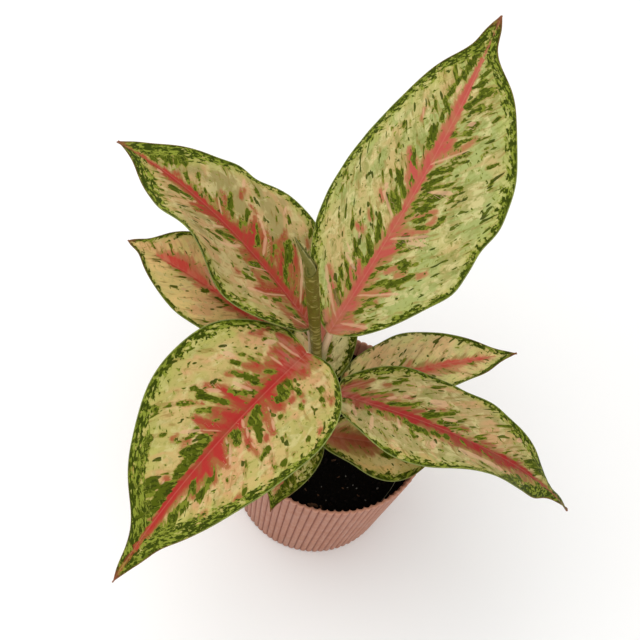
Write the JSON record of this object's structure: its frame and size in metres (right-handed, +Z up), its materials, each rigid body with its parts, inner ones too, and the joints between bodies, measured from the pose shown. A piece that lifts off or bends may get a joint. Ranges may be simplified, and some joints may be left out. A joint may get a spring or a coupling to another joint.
{
  "type": "potted chinese evergreen",
  "caption": "Potted Chinese evergreen: waved variegated leaves on arching petioles and a rolled new leaf, in a ribbed plastic pot of dark mix.",
  "frame": {"origin": "middle of the pot's flat underside, on the surface that the pot stands on", "axes": "+Z up along the pot's axis; -Y is the front, where the largest low leaf hangs; +X is to the right seen from the front"},
  "size_m": [0.3211, 0.3404, 0.2817],
  "materials": {
    "pot_plastic": "satin",
    "potting_mix": "matte",
    "cane_skin": "satin",
    "sheath_skin": "satin",
    "young_blade": "satin",
    "leaf_blade": "satin"
  },
  "bodies": {
    "root": {"pot": "pot_plastic", "soil": "potting_mix", "cane": "cane_skin", "spear_sheath": "sheath_skin", "rolled_leaf": "young_blade", "leaf_back": "leaf_blade", "leaf_back_left": "leaf_blade", "leaf_left": "leaf_blade", "leaf_front": "leaf_blade", "leaf_right": "leaf_blade", "leaf_back_right": "leaf_blade", "leaf_low_right": "leaf_blade", "leaf_low_front": "leaf_blade", "leaf_low_back": "leaf_blade"}
  },
  "joints": []
}
